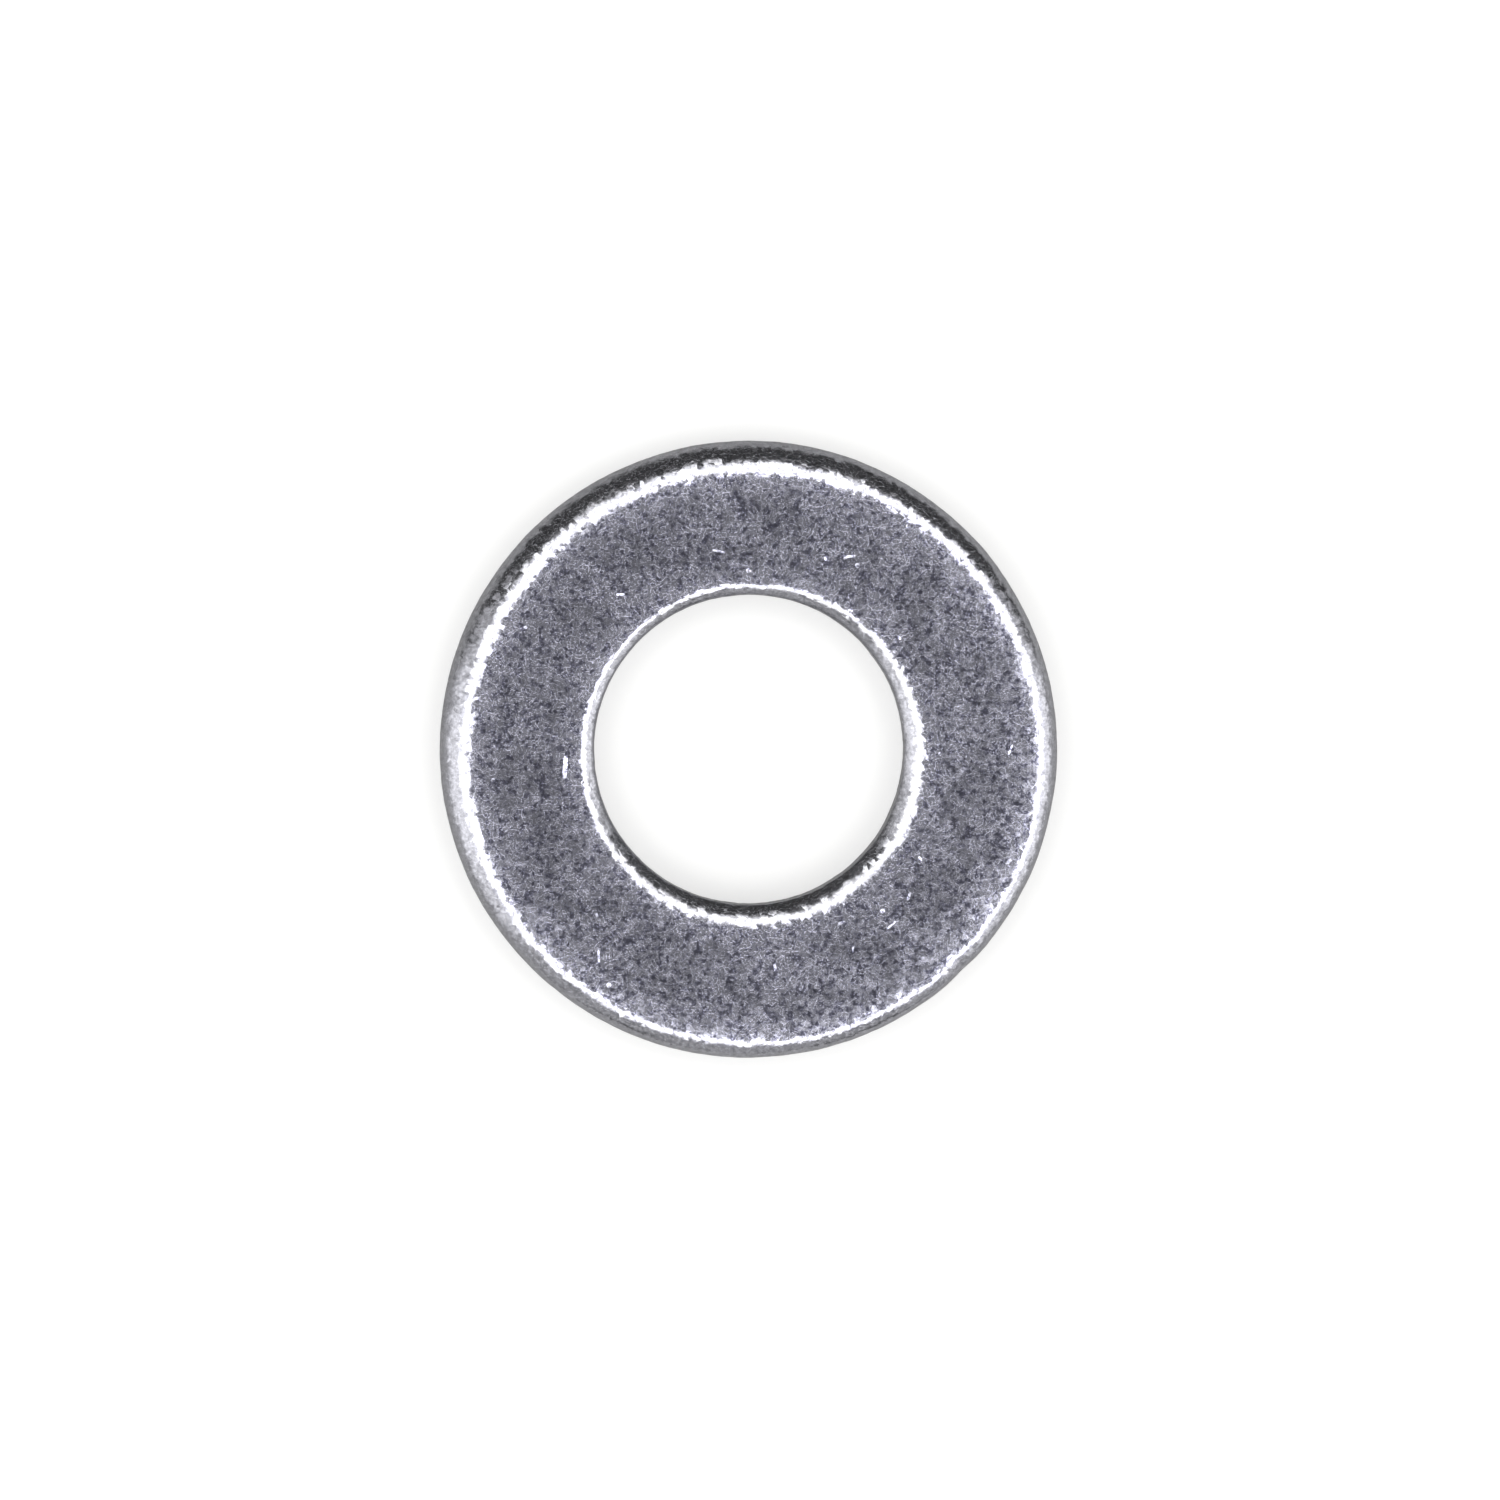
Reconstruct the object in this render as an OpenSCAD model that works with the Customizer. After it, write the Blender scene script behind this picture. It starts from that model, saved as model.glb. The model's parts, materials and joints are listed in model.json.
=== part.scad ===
// Flat washer, 5/16 inch narrow series, stamped from steel sheet in one stroke.
//
// The bore axis lies on Z. The face with the sharper edges rests on z = 0, and the
// face whose edges are rolled over looks up. All sizes are in millimetres.
//
// The punch and die leave four zones on each cut wall, from the top down:
//   the roll-over, where the sheet was drawn down before it parted,
//   the burnished band, a true cylinder, which sets the bore and the outside size,
//   the torn band, which leans away from that cylinder,
//   the bottom edge, broken by tumbling.

/* [Washer] */
// Outside diameter
outer_d = 17.475; // [16:0.005:20]
// Bore diameter
bore_d = 8.738; // [7:0.002:10]
// Thickness of the sheet
thickness = 1.651; // [1.295:0.001:2.032]

/* [Rolled edges] */
// Width of the roll-over round the outside, seen from above
outer_roll_w = 0.83; // [0.62:0.01:1.1]
// Drop of the roll-over round the outside, down to the burnished band
outer_roll_h = 0.54; // [0.3:0.01:0.6]
// Width of the roll-over round the bore, seen from above
bore_roll_w = 0.59; // [0.46:0.01:0.9]
// Drop of the roll-over round the bore, down to the burnished band
bore_roll_h = 0.3; // [0.2:0.01:0.45]
// Radius where the outside roll-over turns down into its wall
outer_turn_r = 0.12; // [0.05:0.01:0.18]
// Radius where the bore's roll-over turns down into its wall
bore_turn_r = 0.06; // [0.03:0.01:0.15]

/* [Cut walls] */
// Height of the torn band's upper edge above the bottom face
torn_h = 0.68; // [0.3:0.01:0.68]
// Distance that the torn band leans back from the burnished band
torn_lean = 0.05; // [0.01:0.01:0.1]
// Width and height of the broken bottom edges
edge_break = 0.08; // [0.03:0.01:0.15]

/* [Hidden] */
$fn = 240;
outer_r = outer_d / 2;
bore_r = bore_d / 2;
// Depth of the slices that make a roll-over, as a share of its turn radius
slice_depth = 0.9;
// Depth of the core's corner below the meeting point, as a share of the turn radius
core_depth = 0.5;

// A roll-over is two arcs that run into each other. The wide one leaves the top face
// level, and the tight one ends upright on the wall. In a corner's own frame the wall
// is x = 0, the top face is y = 0 and the metal lies on the negative side of both.

// A roll-over of width w and drop h turns down at radius t, and is wider than it drops.

// Radius of the wide arc
function wide_r(w, h, t) =
    let (inside = w - t)
    (inside * inside + h * h - t * t) / (2 * (h - t));

// Angle from the vertical at which the wide arc hands over to the tight one
function meet_angle(w, h, t) = atan2(w - t, wide_r(w, h, t) - h);

// The core's corner, a little inside the point where the two arcs meet
function core_corner(w, h, t) =
    let (angle = meet_angle(w, h, t), out = t * (1 - core_depth))
    [out * sin(angle) - t, out * cos(angle) - h];

// The outer part of a disc, down to a depth, between two angles from the vertical
module disc_slice(radius, depth, from, to) {
    reach = 2 * radius;
    root = radius - depth;
    intersection() {
        circle(r = radius);
        polygon([
            root * [sin(from), cos(from)],
            reach * [sin(from), cos(from)],
            reach * [sin(to), cos(to)],
            root * [sin(to), cos(to)]
        ]);
    }
}

// The two arcs of one roll-over, in the corner's own frame
module roll_over(w, h, t) {
    radius = wide_r(w, h, t);
    angle = meet_angle(w, h, t);
    depth = slice_depth * t;
    translate([-w, -radius]) disc_slice(radius, depth, 0, angle);
    translate([-t, -h]) disc_slice(t, depth, angle, 90);
}

// Half of the washer's cross-section: a straight-sided core and the two roll-overs
module section() {
    outer_corner = core_corner(outer_roll_w, outer_roll_h, outer_turn_r);
    bore_corner = core_corner(bore_roll_w, bore_roll_h, bore_turn_r);
    polygon([
        [bore_r + torn_lean + edge_break, 0],
        [outer_r - torn_lean - edge_break, 0],
        [outer_r - torn_lean, edge_break],
        [outer_r, torn_h],
        [outer_r, thickness - outer_roll_h],
        [outer_r + outer_corner.x, thickness + outer_corner.y],
        [outer_r - outer_roll_w, thickness],
        [bore_r + bore_roll_w, thickness],
        [bore_r - bore_corner.x, thickness + bore_corner.y],
        [bore_r, thickness - bore_roll_h],
        [bore_r, torn_h],
        [bore_r + torn_lean, edge_break]
    ]);
    translate([outer_r, thickness])
        roll_over(outer_roll_w, outer_roll_h, outer_turn_r);
    translate([bore_r, thickness]) mirror([1, 0])
        roll_over(bore_roll_w, bore_roll_h, bore_turn_r);
}

// The whole washer is one piece of plated sheet steel
module washer() {
    color([0.66, 0.67, 0.71]) rotate_extrude() section();
}

washer();
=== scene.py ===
"""A flat washer of zinc-plated sheet steel, seen face on under soft studio light.

The washer is one lathed mesh around the CAD part's own axis. Its cross-section is worked out afresh at
every angle, because the roll-over that the punch and die left is wider on one side than on the other.
"""
import json
import math

import bpy
import numpy as np
from mathutils import Matrix, Vector, noise

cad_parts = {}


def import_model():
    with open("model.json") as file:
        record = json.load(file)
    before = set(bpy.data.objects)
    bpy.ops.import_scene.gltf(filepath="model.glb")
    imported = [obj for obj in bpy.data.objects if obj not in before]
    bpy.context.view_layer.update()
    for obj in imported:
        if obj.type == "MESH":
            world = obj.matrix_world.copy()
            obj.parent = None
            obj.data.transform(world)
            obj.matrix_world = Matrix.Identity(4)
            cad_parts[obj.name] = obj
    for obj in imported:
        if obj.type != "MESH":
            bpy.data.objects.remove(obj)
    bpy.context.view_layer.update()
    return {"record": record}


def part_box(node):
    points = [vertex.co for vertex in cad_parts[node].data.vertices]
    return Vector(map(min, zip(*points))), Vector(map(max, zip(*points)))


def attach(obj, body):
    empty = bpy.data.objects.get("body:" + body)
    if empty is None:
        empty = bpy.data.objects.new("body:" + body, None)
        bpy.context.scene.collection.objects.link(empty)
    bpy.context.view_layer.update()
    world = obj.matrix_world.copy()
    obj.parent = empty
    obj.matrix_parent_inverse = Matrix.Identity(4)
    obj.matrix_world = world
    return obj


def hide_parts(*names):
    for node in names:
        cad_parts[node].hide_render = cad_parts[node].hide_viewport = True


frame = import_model()

MM = 0.001

# ---- The frame's own sizes -------------------------------------------------------------------------

box_low, box_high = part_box("washer")
MOUNTS = {mount["name"]: mount for mount in frame["record"]["mounts"]}
OUTER_R = box_high.x
BORE_R = MOUNTS["bolt_hole"]["dims"]["r_mm"] * MM
THICK = box_high.z - box_low.z

# ---- How the real stamping departs from the round design ------------------------------------------

SEED = 516
SEGMENTS = 960                # columns of the lathe, round the circle
# Roll-overs: mean width, how much wider one side is and which side, mean drop, radius of the turn,
# waviness of the width
OUTER_ROLL_W = 0.83 * MM
OUTER_ROLL_SHIFT = 0.32 * MM
OUTER_ROLL_SIDE = math.radians(125)
OUTER_ROLL_H = 0.54 * MM
OUTER_TURN_R = 0.12 * MM
OUTER_ROLL_WAVE = 0.015 * MM
BORE_ROLL_W = 0.59 * MM
BORE_ROLL_SHIFT = 0.24 * MM
BORE_ROLL_SIDE = math.radians(-58)
BORE_ROLL_H = 0.30 * MM
BORE_TURN_R = 0.06 * MM
BORE_ROLL_WAVE = 0.012 * MM
DROP_POWER = 0.6              # how fast a roll-over's drop grows with its width
OUTER_WALL_FADE = 0.3         # share of the roll-over's width over which the wall's look fades out
BORE_WALL_FADE = 0.25
# Outlines: how far each is held inside the design size, and its waviness
OUTER_INSET = 0.012 * MM
OUTER_WAVE = 0.007 * MM
BORE_INSET = 0.004 * MM
BORE_WAVE = 0.005 * MM
DING_DEPTH = 0.035 * MM       # a slight flat on the outline
DING_SIDE = math.radians(-46)
DING_WIDTH = math.radians(2.5)
# Cut walls
TORN_TOP = 0.68 * MM
TORN_WAVE = 0.05 * MM
TORN_LEAN = 0.05 * MM
EDGE_BREAK = 0.08 * MM
EDGE_WAVE = 0.012 * MM
# How far each surface is sunk, so that its unevenness stays inside the design size
WALL_SINK = 0.006 * MM
TORN_SINK = 0.012 * MM
FACE_SINK = 0.002 * MM
# Faces: the easing towards each roll-over, and the small knocks
SAG_DEPTH = 0.018 * MM
SAG_REACH = 0.35 * MM
KNOCKS = 150
KNOCK_MARGINS = (0.7 * MM, 0.8 * MM)      # kept clear beside the bore and beside the outside
KNOCK_SIZE = (0.05 * MM, 0.16 * MM)
KNOCK_DEPTH = (0.002 * MM, 0.008 * MM)

rng = np.random.default_rng(SEED)
angles = np.arange(SEGMENTS) * (2 * math.pi / SEGMENTS)


def ripple(slowest, fastest, height):
    """A smooth random wave round the circle that closes on itself, about `height` to its crests."""
    counts = np.arange(slowest, fastest + 1)
    phases = rng.uniform(0, 2 * math.pi, counts.size)
    weights = rng.uniform(0.4, 1.0, counts.size) / np.sqrt(counts)
    weights /= np.sqrt((weights ** 2).sum())
    wave = (weights[:, None] * np.cos(counts[:, None] * angles + phases[:, None])).sum(0)
    return wave * height


def bump_at(centre, half_width):
    """1 at an angle round the circle, falling smoothly to 0 either side."""
    away = (angles - centre + math.pi) % (2 * math.pi) - math.pi
    return np.exp(-((away / half_width) ** 2))


def steps(first, last, count, ends=True):
    """`count` rows from first to last, each of them one number per segment."""
    share = np.linspace(0, 1, count, endpoint=ends)[:, None]
    return first * (1 - share) + last * share


def roll_over(width, height, turn, wide_rows, turn_rows):
    """The two arcs of a roll-over in the corner's own frame, from the level top to the upright wall.

    The wall is x = 0 and the top face is y = 0, with the metal on the negative side of both.
    """
    wide = ((width - turn) ** 2 + height ** 2 - turn ** 2) / (2 * (height - turn))
    meet = np.arctan2(width - turn, wide - height)
    sweep = steps(np.zeros(SEGMENTS), meet, wide_rows, ends=False)
    finish = steps(meet, np.full(SEGMENTS, math.pi / 2), turn_rows)
    x = np.vstack([wide * np.sin(sweep) - width, turn * np.sin(finish) - turn])
    y = np.vstack([wide * (np.cos(sweep) - 1), turn * np.cos(finish) - height])
    return x, y


def cross_section():
    """Radius and height of every row of the lathe, then four masks from 0 to 1.

    The masks say how far each point belongs to a cut wall, to a torn band or to a roll-over, and how
    near it lies to a roll-over; that last one sets the face's sag and a painted highlight beside the
    roll-over.
    Each zone is given its own number of rows, closer where it curves.
    """
    outer_r = OUTER_R - OUTER_INSET + ripple(2, 24, OUTER_WAVE)
    outer_r = outer_r - DING_DEPTH * bump_at(DING_SIDE, DING_WIDTH)
    outer_r = np.minimum(outer_r, OUTER_R)
    bore_r = np.maximum(BORE_R + BORE_INSET + ripple(2, 24, BORE_WAVE), BORE_R)
    outer_w = OUTER_ROLL_W + OUTER_ROLL_SHIFT * np.cos(angles - OUTER_ROLL_SIDE)
    outer_w = outer_w + ripple(5, 60, OUTER_ROLL_WAVE)
    outer_h = OUTER_ROLL_H * (outer_w / OUTER_ROLL_W) ** DROP_POWER
    bore_w = BORE_ROLL_W + BORE_ROLL_SHIFT * np.cos(angles - BORE_ROLL_SIDE)
    bore_w = bore_w + ripple(5, 60, BORE_ROLL_WAVE)
    bore_h = BORE_ROLL_H * (bore_w / BORE_ROLL_W) ** DROP_POWER
    outer_torn = TORN_TOP + ripple(3, 90, TORN_WAVE)
    bore_torn = TORN_TOP + ripple(3, 90, TORN_WAVE)
    edge = EDGE_BREAK + ripple(4, 120, EDGE_WAVE)

    radii = []
    heights = []
    walls = []
    torn = []
    rolled = []

    def add(r, z, wall=0.0, torn_here=0.0, rolled_here=0.0):
        r, z, wall, rolled_here = np.broadcast_arrays(r, z, wall, rolled_here)
        radii.append(r)
        heights.append(z)
        walls.append(wall)
        torn.append(np.full(r.shape, torn_here))
        rolled.append(rolled_here)

    flat = np.zeros(SEGMENTS)
    quarter = np.linspace(0, math.pi / 2, 4)[:, None]
    outer_foot = outer_r - TORN_LEAN
    bore_foot = bore_r + TORN_LEAN
    # Bottom face, outwards
    add(steps(bore_foot + edge, outer_foot - edge, 20), flat)
    # Outside bottom edge, torn band and burnished band, upwards
    add((outer_foot - edge * (1 - np.sin(quarter)))[1:], (edge * (1 - np.cos(quarter)))[1:], 1.0)
    add(steps(outer_foot, outer_r, 8)[1:], steps(edge, outer_torn, 8)[1:], 1.0, torn_here=1.0)
    add(outer_r, steps(outer_torn, THICK - outer_h, 6, ends=False)[1:], 1.0)
    # Roll-over round the outside, read backwards from the wall up
    x, y = roll_over(outer_w, outer_h, OUTER_TURN_R, 12, 4)
    x, y = x[::-1], y[::-1]
    add(outer_r + x, THICK + y, np.clip(1 + x / (OUTER_WALL_FADE * outer_w), 0, 1),
        rolled_here=np.clip(2 + 2 * x / outer_w, 0, 1))
    # Top face, inwards
    top_rows = steps(outer_r - outer_w, bore_r + bore_w, 28)[1:-1]
    add(top_rows, flat + THICK)
    # Roll-over round the bore, down to the wall
    x, y = roll_over(bore_w, bore_h, BORE_TURN_R, 10, 4)
    add(bore_r - x, THICK + y, np.clip(1 + x / (BORE_WALL_FADE * bore_w), 0, 1),
        rolled_here=np.clip(2 + 2 * x / bore_w, 0, 1))
    # Bore wall, downwards
    add(bore_r, steps(THICK - bore_h, bore_torn, 6)[1:-1], 1.0)
    add(steps(bore_r, bore_foot, 7)[:-1], steps(bore_torn, edge, 7)[:-1], 1.0, torn_here=1.0)
    add((bore_foot + edge * (1 - np.cos(quarter)))[:-1], (edge * (1 - np.sin(quarter)))[:-1], 1.0)

    radius, height, wall, torn, rolled = [
        np.vstack(rows) for rows in (radii, heights, walls, torn, rolled)]
    # The top face eases down by some microns towards each roll-over. The same mask paints a highlight on
    # the face's colour there
    on_top = np.clip(height / THICK * 4 - 3, 0, 1)
    from_outer = np.maximum((outer_r - outer_w) - radius, 0)
    from_bore = np.maximum(radius - (bore_r + bore_w), 0)
    sag_and_highlight = np.exp(-from_outer / SAG_REACH) + np.exp(-from_bore / SAG_REACH)
    height = height - SAG_DEPTH * sag_and_highlight * on_top
    return radius, height, wall, torn, rolled, np.clip(sag_and_highlight, 0, 1)


def relief(points, scale, seed):
    """Smooth 3-D noise at points in metres, with features about 1/scale mm across."""
    shift = Vector((seed * 17.3, seed * 5.1, seed * 9.7))
    return np.array([noise.noise(Vector(p) * (scale / MM) + shift) for p in points.tolist()])


def strike(points, up):
    """How deep small knocks went at each point of the face at z = `up`. Each is a shallow dish."""
    fallen = np.zeros(len(points))
    near_face = np.abs(points[:, 2] - up) < 0.03 * MM
    face = points[near_face]
    for _ in range(KNOCKS):
        r = rng.uniform(BORE_R + KNOCK_MARGINS[0], OUTER_R - KNOCK_MARGINS[1])
        a = rng.uniform(0, 2 * math.pi)
        size = rng.uniform(*KNOCK_SIZE)
        deep = rng.uniform(*KNOCK_DEPTH)
        stretch = rng.uniform(0.4, 1.0)
        turn = rng.uniform(0, math.pi)
        dx = face[:, 0] - r * math.cos(a)
        dy = face[:, 1] - r * math.sin(a)
        u = (dx * math.cos(turn) + dy * math.sin(turn)) / size
        v = (dy * math.cos(turn) - dx * math.sin(turn)) / (size * stretch)
        fallen[near_face] += deep * np.exp(-(u * u + v * v) ** 2)
    return fallen


def washer_mesh():
    """The washer's mesh, closed both round the axis and round its cross-section."""
    radius, height, wall, torn, rolled, sag_and_highlight = cross_section()
    rows = radius.shape[0]
    points = np.stack([radius * np.cos(angles), radius * np.sin(angles), height], axis=-1)
    points = points.reshape(-1, 3)
    out = np.stack([np.cos(angles), np.sin(angles), np.zeros(SEGMENTS)], axis=-1)
    out = np.broadcast_to(out, (rows, SEGMENTS, 3)).reshape(-1, 3)
    outward = np.where(radius > (OUTER_R + BORE_R) / 2, 1.0, -1.0).reshape(-1)
    wall_flat = wall.reshape(-1)
    torn_flat = torn.reshape(-1)
    # Walls: upright drag lines everywhere, and a broken, pitted surface on the torn band
    upright = points * (1, 1, 0.12)
    drag = relief(upright, 4.5, 1) * 0.006 * MM + relief(upright, 2.0, 2) * 0.006 * MM
    pits = relief(points, 5.0, 3) * 0.018 * MM + relief(points, 2.2, 4) * 0.016 * MM
    inset = wall_flat * (drag - WALL_SINK) + torn_flat * (pits - TORN_SINK)
    points = points + out * (np.minimum(inset, 0) * outward)[:, None]
    # Faces and rolled edges: slow unevenness from rolling and tumbling, then small knocks
    uneven = relief(points, 1.2, 5) * 0.0022 * MM + relief(points, 3.2, 6) * 0.0014 * MM
    top_share = np.clip(points[:, 2] / THICK * 2 - 1, 0, 1)
    points[:, 2] += (uneven - FACE_SINK) * top_share
    points[:, 2] -= (uneven - FACE_SINK) * (1 - top_share) * (points[:, 2] < 0.1 * MM)
    points[:, 2] -= strike(points, THICK)
    points[:, 2] += strike(points, 0)
    points[:, 2] = np.clip(points[:, 2], 0, THICK)

    row = np.arange(rows)[:, None]
    column = np.arange(SEGMENTS)[None, :]
    next_row = (row + 1) % rows
    next_column = (column + 1) % SEGMENTS
    corners = [row * SEGMENTS + column, row * SEGMENTS + next_column,
               next_row * SEGMENTS + next_column, next_row * SEGMENTS + column]
    quads = np.stack([np.broadcast_to(c, (rows, SEGMENTS)) for c in corners], axis=-1).reshape(-1, 4)
    mesh = bpy.data.meshes.new("washer_plated")
    mesh.from_pydata(points.tolist(), [], quads.tolist())
    mesh.polygons.foreach_set("use_smooth", np.ones(len(quads), dtype=bool))
    for name, values in (("wall", wall), ("torn", torn), ("rolled", rolled), ("sag_and_highlight", sag_and_highlight)):
        layer = mesh.attributes.new(name, "FLOAT", "POINT")
        layer.data.foreach_set("value", values.reshape(-1).astype(np.float32))
    mesh.update()
    return mesh


# ---- Material ---------------------------------------------------------------------------------------

# Noise scales are in cycles a millimetre, and heights, lengths and widths are in millimetres.
FACETS = (5.5, 0.12)              # scale and slope of the crystal facets
FINE_FACETS = (11.0, 0.035)
FACETS_ON_FLAT = 0.5              # share of that slope on the flat,
FACETS_ON_ROLL = 1.1              # on the roll-overs
FACETS_ON_WALL = 0.4              # and on the cut walls
SWELL_HEIGHT = 0.012
PIT_DEPTH = 0.012
DRAG_HEIGHT = 0.012
TORN_HEIGHT = 0.05
GOUGE_BY_BORE = (-5.2, -0.45, 0.75, 0.14, 86, 0.22)     # place, length, width, angle and slope
GOUGES = 14
GOUGE_PLACES = (5.2, 7.6)         # distances from the axis
GOUGE_LENGTHS = (0.12, 0.45)
GOUGE_WIDTHS = (0.05, 0.09)
GOUGE_SLOPES = (0.12, 0.24)
DULL, CLEAN = 0.36, 0.88          # reflectance of the plate under dark and light clouds
PIT_SHADE = 0.24                  # share of it that is left in a dull pit
FLAT_MARGIN_HIGHLIGHT_GAIN = 1.75                # painted highlight: how much brighter the flat's colour is made beside each roll-over
BRIGHTEST = 0.84                  # keeps the blue below 1, where it would be cut off and turn yellow
PLATE_BLUE, PIT_BLUE = 1.19, 1.40     # blue against red and green
ROLL_TINT = (1.0, 1.0, 1.09, 1)
ROLL_SHADES = (0.44, 0.70)        # darkest and lightest reflectance of the roll-overs
WALL_TINT = (1.0, 1.0, 1.06, 1)
WALL_SHADES = (0.32, 0.50)
ROUGH_DULL, ROUGH_CLEAN = 0.21, 0.17
ROUGHER_TORN, ROUGHER_WALL = 0.2, 0.10


def add_node(tree, kind, links=None, **settings):
    """A shader node, with its settings, and its inputs joined to sockets or set to values."""
    made = tree.nodes.new(kind)
    for name, value in settings.items():
        setattr(made, name, value)
    for name, value in (links or {}).items():
        if isinstance(value, bpy.types.NodeSocket):
            tree.links.new(value, made.inputs[name])
        else:
            made.inputs[name].default_value = value
    return made


def zinc_plate():
    """Clear zinc plate over tumbled sheet steel."""
    material = bpy.data.materials.new("zinc_plate")
    material.use_nodes = True
    tree = material.node_tree
    tree.nodes.clear()

    def vector(operation, a, b):
        return add_node(tree, "ShaderNodeVectorMath", {0: a, 1: b}, operation=operation)

    def maths(operation, a, b):
        return add_node(tree, "ShaderNodeMath", {0: a, 1: b}, operation=operation).outputs[0]

    place = add_node(tree, "ShaderNodeTexCoord").outputs["Object"]
    in_mm = vector("MULTIPLY", place, (1000, 1000, 1000)).outputs[0]

    def noise_of(scale, detail, roughness):
        return add_node(tree, "ShaderNodeTexNoise", {
            "Vector": in_mm, "Scale": scale, "Detail": detail, "Roughness": roughness}).outputs["Fac"]

    def facets(scale, slope):
        """Heights in mm of a field of flat facets, each tilted its own way."""
        cells = add_node(tree, "ShaderNodeTexVoronoi", {"Vector": in_mm, "Scale": scale})
        tilt = vector("SUBTRACT", cells.outputs["Color"], (0.5, 0.5, 0.5)).outputs[0]
        reach = vector("SUBTRACT", in_mm, cells.outputs["Position"]).outputs[0]
        return maths("MULTIPLY", vector("DOT_PRODUCT", tilt, reach).outputs["Value"], slope)

    def mix(share, a, b, blend="MIX"):
        links = {0: share, 6: a, 7: b}
        made = add_node(tree, "ShaderNodeMix", links, data_type="RGBA", blend_type=blend)
        return made.outputs[2]

    def ramp(value, low, high, start=0.0, end=1.0):
        """`value` from low to high, carried over to start to end and held there."""
        made = add_node(tree, "ShaderNodeMapRange", {
            "Value": value, "From Min": low, "From Max": high, "To Min": start, "To Max": end})
        return made.outputs["Result"]

    def mask(name):
        return add_node(tree, "ShaderNodeAttribute", attribute_name=name).outputs["Fac"]

    def gouge(x, y, length, width, angle, slope):
        """Heights of an oval patch on the faces, tilted across its width; all in mm and degrees."""
        level = vector("MULTIPLY", in_mm, (1, 1, 0)).outputs[0]
        here = add_node(tree, "ShaderNodeMapping", {
            "Vector": level, "Location": (x, y, 0), "Rotation": (0, 0, math.radians(angle)),
            "Scale": (length / 2, width / 2, 1)}, vector_type="TEXTURE")
        away = add_node(tree, "ShaderNodeVectorMath", {0: here.outputs[0]}, operation="LENGTH")
        across = add_node(tree, "ShaderNodeSeparateXYZ", {0: here.outputs[0]}).outputs["Y"]
        tilted = maths("MULTIPLY", across, slope * width / 2)
        return maths("MULTIPLY", tilted, ramp(away.outputs["Value"], 1.0, 0.75))

    wall, torn, rolled, sag_and_highlight = mask("wall"), mask("torn"), mask("rolled"), mask("sag_and_highlight")

    # Relief of the faces: tilted crystal facets with finer ones over them, small sharp pits, and gouges
    height = maths("ADD", facets(*FACETS), facets(*FINE_FACETS))
    height = maths("MULTIPLY", height, ramp(rolled, 0, 0.3, FACETS_ON_FLAT, FACETS_ON_ROLL))
    height = maths("MULTIPLY", height, ramp(wall, 0, 1, 1, FACETS_ON_WALL))
    height = maths("ADD", height, maths("MULTIPLY", noise_of(2.6, 2.0, 0.5), SWELL_HEIGHT))
    dots = add_node(tree, "ShaderNodeTexVoronoi", {"Vector": in_mm, "Scale": 1.3})
    lot = add_node(tree, "ShaderNodeSeparateColor", {"Color": dots.outputs["Color"]}).outputs[0]
    chosen = ramp(lot, 0.55, 0.6)
    dot_depth = ramp(dots.outputs["Distance"], 0.09, 0.0, 0.0, PIT_DEPTH)
    height = maths("SUBTRACT", height, maths("MULTIPLY", dot_depth, chosen))
    height = maths("ADD", height, gouge(*GOUGE_BY_BORE))
    for _ in range(GOUGES):
        r, a = rng.uniform(*GOUGE_PLACES), rng.uniform(0, 2 * math.pi)
        long, wide = rng.uniform(*GOUGE_LENGTHS), rng.uniform(*GOUGE_WIDTHS)
        turn, slope = rng.uniform(0, 180), rng.uniform(*GOUGE_SLOPES)
        mark = gouge(r * math.cos(a), r * math.sin(a), long, wide, turn, slope)
        height = maths("ADD", height, mark)
    # Relief of the cut walls: upright drag lines, and a coarse broken surface where the metal tore
    upright = vector("MULTIPLY", in_mm, (1, 1, 0.08)).outputs[0]
    drag_noise = add_node(tree, "ShaderNodeTexNoise", {"Vector": upright, "Scale": 9.0, "Detail": 2.0})
    drag = drag_noise.outputs["Fac"]
    drag_lines = maths("MULTIPLY", maths("MULTIPLY", drag, wall), DRAG_HEIGHT)
    height = maths("ADD", height, drag_lines)
    broken = maths("MULTIPLY", maths("MULTIPLY", noise_of(7.0, 3.0, 0.6), torn), TORN_HEIGHT)
    height = maths("ADD", height, broken)
    bump = add_node(tree, "ShaderNodeBump", {"Height": height, "Strength": 1.0, "Distance": 1 * MM})

    # Colour: pale bluish zinc, clouded, with small dull pits, and a painted highlight on the flat beside
    # each roll-over
    broad = ramp(noise_of(0.6, 3.0, 0.55), 0.43, 0.57)
    small = ramp(noise_of(2.4, 3.0, 0.6), 0.36, 0.64)
    clouds = maths("ADD", maths("MULTIPLY", broad, 0.5), maths("MULTIPLY", small, 0.5))
    pits = ramp(noise_of(7.0, 2.0, 0.7), 0.50, 0.36)
    plate = ramp(clouds, 0, 1, DULL, CLEAN)
    brightness = maths("MULTIPLY", plate, ramp(pits, 0, 1, 1, PIT_SHADE))
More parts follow.
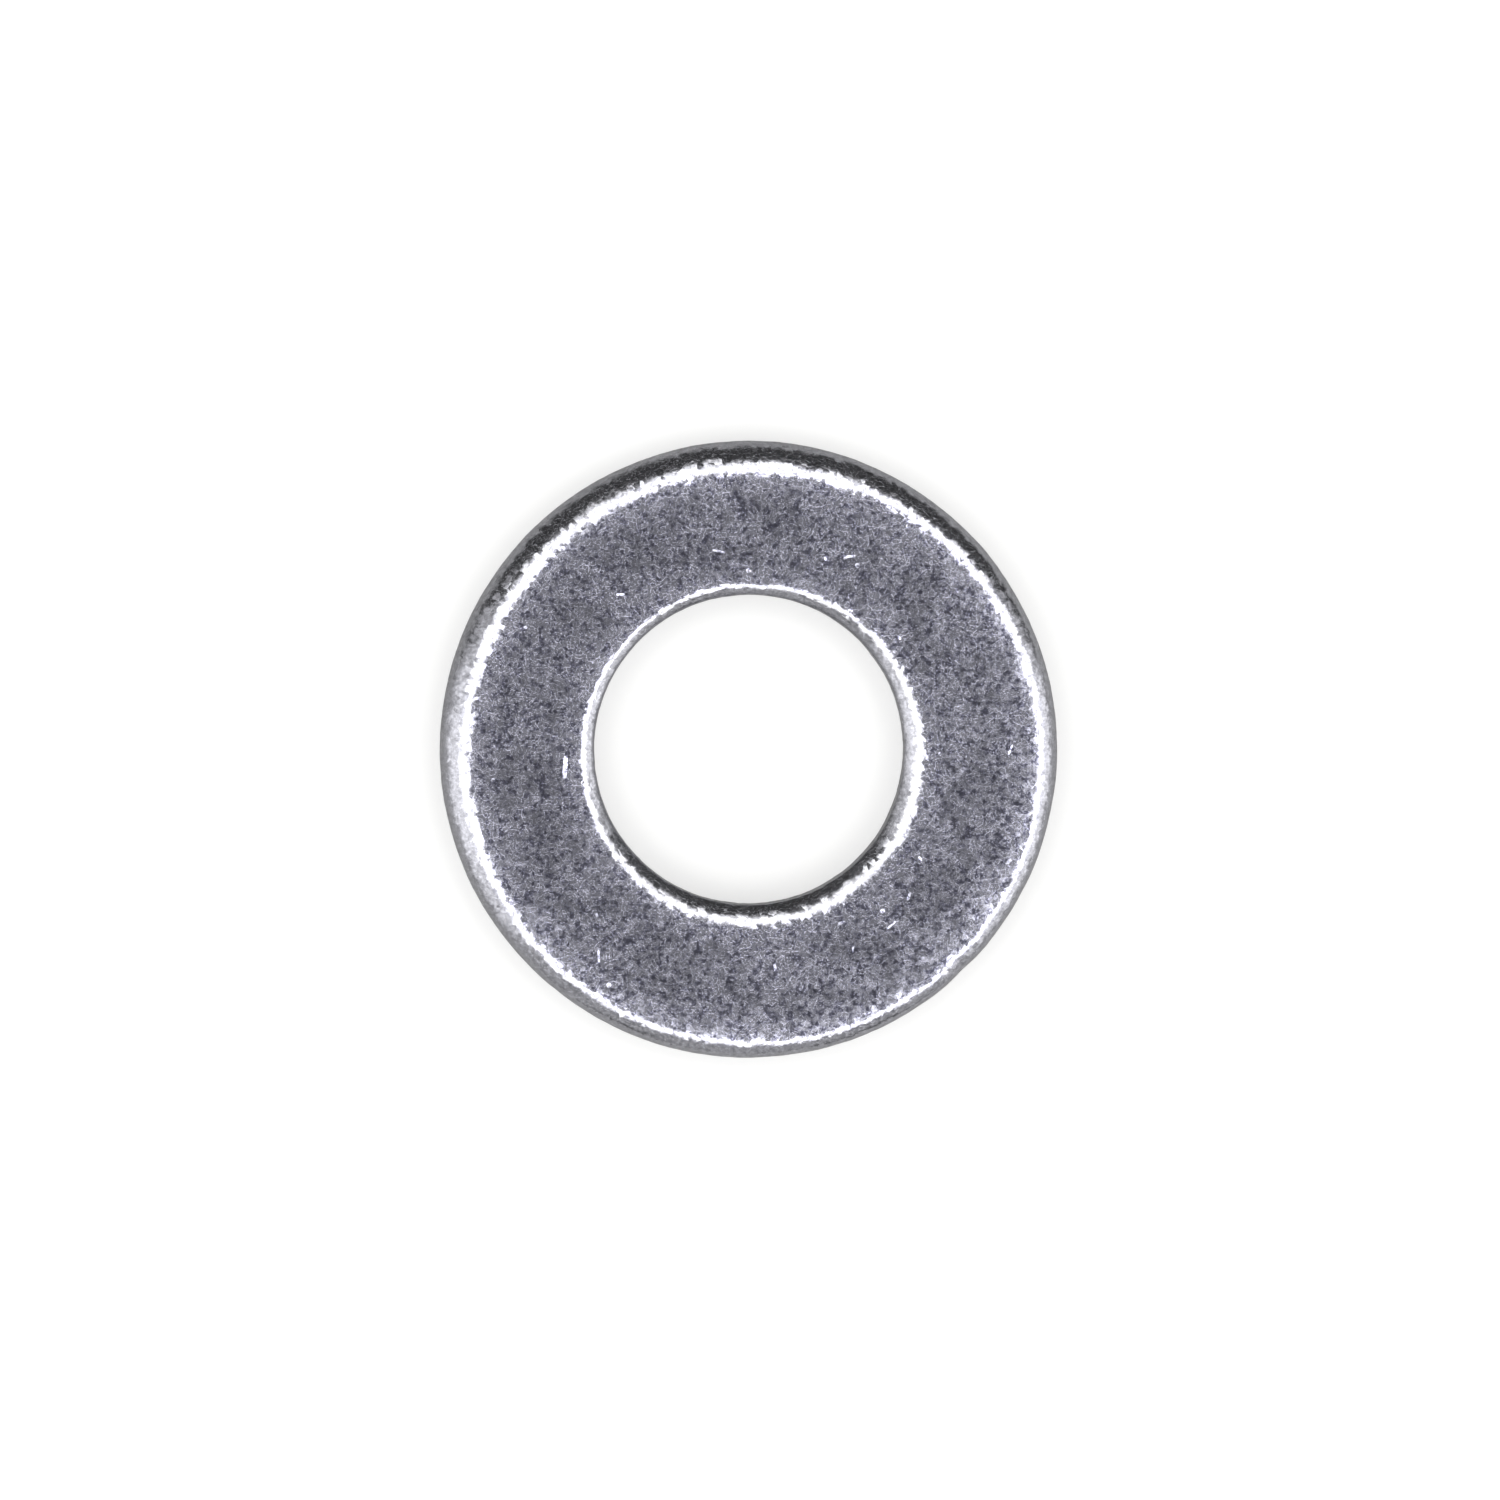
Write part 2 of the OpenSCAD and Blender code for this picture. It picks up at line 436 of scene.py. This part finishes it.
    # Painted highlight: the flat's colour is brightened beside each roll-over, where its sag catches the
    # ring lamps
    brightness = maths("MULTIPLY", brightness, ramp(sag_and_highlight, 0, 1, 1, FLAT_MARGIN_HIGHLIGHT_GAIN))
    brightness = maths("MINIMUM", brightness, BRIGHTEST)
    blue = maths("MULTIPLY", brightness, ramp(pits, 0, 1, PLATE_BLUE, PIT_BLUE))
    channels = {0: brightness, 1: brightness, 2: blue}
    colour = add_node(tree, "ShaderNodeCombineColor", channels).outputs[0]
    roll_shade = ramp(noise_of(8.0, 3.0, 0.6), 0.35, 0.65, *ROLL_SHADES)
    colour = mix(rolled, colour, mix(1.0, ROLL_TINT, roll_shade, "MULTIPLY"))
    wall_shade = ramp(maths("ADD", drag, noise_of(5.0, 3.0, 0.6)), 0.7, 1.3, *WALL_SHADES)
    colour = mix(wall, colour, mix(1.0, WALL_TINT, wall_shade, "MULTIPLY"))
    roughness = ramp(clouds, 0, 1, ROUGH_DULL, ROUGH_CLEAN)
    roughness = maths("ADD", roughness, maths("MULTIPLY", torn, ROUGHER_TORN))
    roughness = maths("ADD", roughness, maths("MULTIPLY", wall, ROUGHER_WALL))
    shader = add_node(tree, "ShaderNodeBsdfPrincipled", {
        "Base Color": colour, "Metallic": 1.0, "Roughness": roughness, "Normal": bump.outputs["Normal"]})
    output = add_node(tree, "ShaderNodeOutputMaterial")
    tree.links.new(shader.outputs["BSDF"], output.inputs["Surface"])
    return material


# ---- Stage ------------------------------------------------------------------------------------------

FLOOR_HALF = 2.0                  # half the floor's side, in metres
FLOOR_GAP = 0.002 * MM            # keeps the floor clear of the washer's bottom face
FLOOR_DIFFUSE, FLOOR_GLOW = 0.5, 0.5      # the floor that the camera sees
FLOOR_MIRRORED = 0.45             # the floor that the metal mirrors


def floor():
    """A plain pale floor under the washer."""
    corners = [(x * FLOOR_HALF, y * FLOOR_HALF, 0) for x, y in ((-1, -1), (1, -1), (1, 1), (-1, 1))]
    mesh = bpy.data.meshes.new("floor")
    mesh.from_pydata(corners, [], [(0, 1, 2, 3)])
    plane = bpy.data.objects.new("floor", mesh)
    bpy.context.scene.collection.objects.link(plane)
    plane.location.z = box_low.z - FLOOR_GAP
    material = bpy.data.materials.new("floor")
    material.use_nodes = True
    tree = material.node_tree
    tree.nodes.clear()
    seen = add_node(tree, "ShaderNodeBsdfDiffuse", {"Color": (FLOOR_DIFFUSE,) * 3 + (1,)})
    glow = add_node(tree, "ShaderNodeEmission", {"Color": (1, 1, 1, 1), "Strength": FLOOR_GLOW})
    pale = add_node(tree, "ShaderNodeAddShader", {0: seen.outputs[0], 1: glow.outputs[0]})
    mirrored = add_node(tree, "ShaderNodeBsdfDiffuse", {"Color": (FLOOR_MIRRORED,) * 3 + (1,)})
    glossy_ray = add_node(tree, "ShaderNodeLightPath").outputs["Is Glossy Ray"]
    both = add_node(tree, "ShaderNodeMixShader", {
        0: glossy_ray, 1: pale.outputs[0], 2: mirrored.outputs[0]})
    output = add_node(tree, "ShaderNodeOutputMaterial")
    tree.links.new(both.outputs[0], output.inputs["Surface"])
    mesh.materials.append(material)


def towards(azimuth, zenith):
    """Unit vector at an azimuth from +X and an angle down from straight up, in degrees."""
    a, z = math.radians(azimuth), math.radians(zenith)
    return Vector((math.sin(z) * math.cos(a), math.sin(z) * math.sin(a), math.cos(z)))


def soft_sun(name, azimuth, zenith, spread, radiance, colour=(1, 1, 1)):
    """A round soft light far away, `spread` degrees across, as bright to look at as `radiance`."""
    light = bpy.data.lights.new(name, "SUN")
    light.color = colour
    light.angle = math.radians(spread)
    light.energy = math.pi * radiance * math.sin(math.radians(spread) / 2) ** 2
    lamp = bpy.data.objects.new(name, light)
    lamp.rotation_euler = towards(azimuth, zenith).to_track_quat("Z", "Y").to_euler()
    bpy.context.scene.collection.objects.link(lamp)


RING_LAMPS = 12
RING_COLOUR = (1, 1, 0.98)


def lights():
    """A ring high above, soft lights on the left and right, dimmer ones in front, and a faint dome.

    There is no low lamp at the back, so the rim is dark there. Each lamp's numbers are its azimuth, its
    angle from straight up and its spread, all in degrees, then its brightness.
    """
    for i in range(RING_LAMPS):
        soft_sun(f"ring_{i}", i * 360 / RING_LAMPS, 30, 30, 1.25, RING_COLOUR)
    for name, azimuth in (("left", 187), ("right", -8)):
        soft_sun(name, azimuth, 60, 36, 0.75)
        soft_sun(name + "_wide", azimuth, 60, 66, 0.54)
    for azimuth in (-45, -90, -135):
        soft_sun(f"front_{-azimuth}", azimuth, 68, 44, 0.38)
    soft_sun("overhead", 0, 0, 26, 0.07)
    soft_sun("dome", 0, 0, 180, 0.045)


def world():
    """The pale background that the camera sees past the floor. It gives no light."""
    sky = bpy.data.worlds.new("background")
    sky.use_nodes = True
    sky.node_tree.nodes["Background"].inputs["Color"].default_value = (1, 1, 1, 1)
    bpy.context.scene.world = sky
    sky.cycles_visibility.diffuse = False
    sky.cycles_visibility.glossy = False
    sky.cycles_visibility.transmission = False
    sky.cycles_visibility.scatter = False


LENS = 120
SENSOR = 36
WASHER_SHARE = 0.41146667         # share of the picture's width that the washer spans
VIEW_SIDE, VIEW_TILT = 135, 3.5   # which way and how far the camera leans from straight above
AIM = (0.035 * MM, -0.02 * MM)    # what it looks at, in the middle of the washer's thickness


def camera():
    """The camera, almost straight above, with +Y up in the picture."""
    lens = bpy.data.cameras.new("camera")
    lens.sensor_width = SENSOR
    lens.lens = LENS
    view = bpy.data.objects.new("camera", lens)
    distance = 2 * OUTER_R / WASHER_SHARE * LENS / SENSOR
    aim = Vector((*AIM, THICK / 2))
    back = towards(VIEW_SIDE, VIEW_TILT)
    right = Vector((0, 1, 0)).cross(back).normalized()
    up = back.cross(right)
    view.matrix_world = Matrix((right, up, back)).transposed().to_4x4()
    view.location = aim + back * distance
    bpy.context.scene.collection.objects.link(view)
    bpy.context.scene.camera = view


bpy.context.scene.view_settings.view_transform = "Standard"
camera()
world()
lights()
floor()
washer = bpy.data.objects.new("washer_plated", washer_mesh())
bpy.context.scene.collection.objects.link(washer)
washer.data.materials.append(zinc_plate())
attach(washer, "root")
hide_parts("washer")
